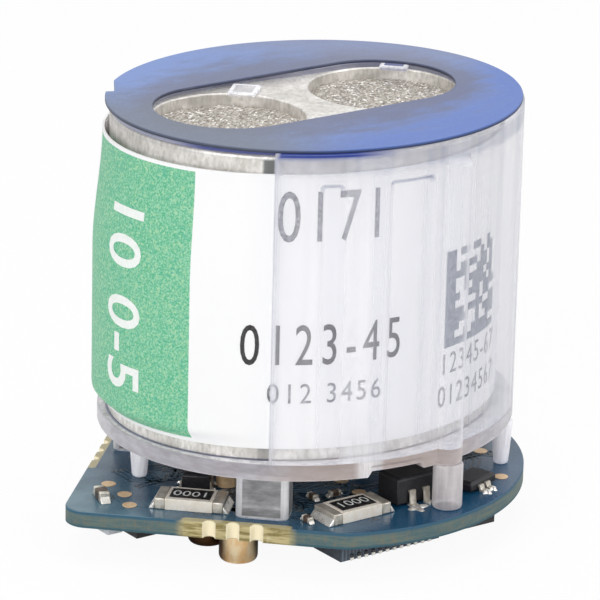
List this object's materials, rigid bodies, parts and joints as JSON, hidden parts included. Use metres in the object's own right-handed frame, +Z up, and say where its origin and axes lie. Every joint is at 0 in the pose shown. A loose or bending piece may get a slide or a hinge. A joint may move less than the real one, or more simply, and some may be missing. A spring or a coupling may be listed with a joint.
{
  "type": "gas detector sensor module",
  "caption": "Plug-in catalytic gas sensor: an oval metal can with sintered frits in a clear clip-on housing, on a small round circuit board with contact pins and a connector below.",
  "frame": {"origin": "centre of the round board outline, on the board's underside", "axes": "+Z up, out of the gasket face; X along the oval can's long axis, with the board's square corner at -X; the row stands in its storage pose with the gasket face up"},
  "size_m": [0.0236, 0.0206, 0.0201],
  "materials": {
    "board": "glossy teal solder mask over glass-fibre laminate",
    "gold": "bright gold plate",
    "contact_brass": "tarnished turned brass",
    "alumina": "cream white, fine matt",
    "black_glaze": "smooth black glaze with pale digits",
    "tin": "satin tin plate",
    "capacitor_ceramic": "matt brown",
    "solder": "bright wetted solder",
    "chip_black": "fine matt moulding compound",
    "filter_ceramic": "pale grey, matt",
    "connector_black": "matt moulded",
    "clear_plastic": "clear moulding with a milky lavender tint",
    "blue_film": "satin blue film with a greyer bloom",
    "stainless": "satin drawn steel, lightly mottled",
    "sintered_steel": "grainy sintered metal",
    "potting_resin": "cast black resin",
    "header_moulding": "moulded",
    "pin_nickel": "bright nickel plate",
    "bead_ceramic": "porous fired ceramic",
    "label_paper": "coated paper, green at one end and white for the rest"
  },
  "bodies": {
    "board_assembly": {"circuit_board": "board", "pin_sockets": "gold", "test_pads": "gold", "contact_pins": "contact_brass", "resistor_bodies": "alumina", "resistor_glaze": "black_glaze", "resistor_end_caps": "tin", "capacitor_end_caps": "tin", "capacitor_bodies": "capacitor_ceramic", "solder_joints": "solder", "amplifier_chip": "chip_black", "regulator_chip": "chip_black", "reference_chip": "chip_black", "memory_chip": "chip_black", "driver_chip": "chip_black", "filter_chip": "filter_ceramic", "chip_leads": "tin", "board_connector": "connector_black", "connector_contacts": "gold"},
    "sensor_pack": {"clear_housing": "clear_plastic", "face_gasket": "blue_film", "sensor_can": "stainless", "detector_frit": "sintered_steel", "compensator_frit": "sintered_steel", "potting": "potting_resin", "header": "header_moulding", "divider": "header_moulding", "sensor_pins": "pin_nickel", "detector_element": "bead_ceramic", "compensator_element": "bead_ceramic", "wrap_label": "label_paper"}
  },
  "joints": [
    {"name": "sensor_unplug", "type": "slide", "parent": "board_assembly", "child": "sensor_pack", "axis": [0, 0, 1], "range_m": [0, 0.00205]}
  ]
}
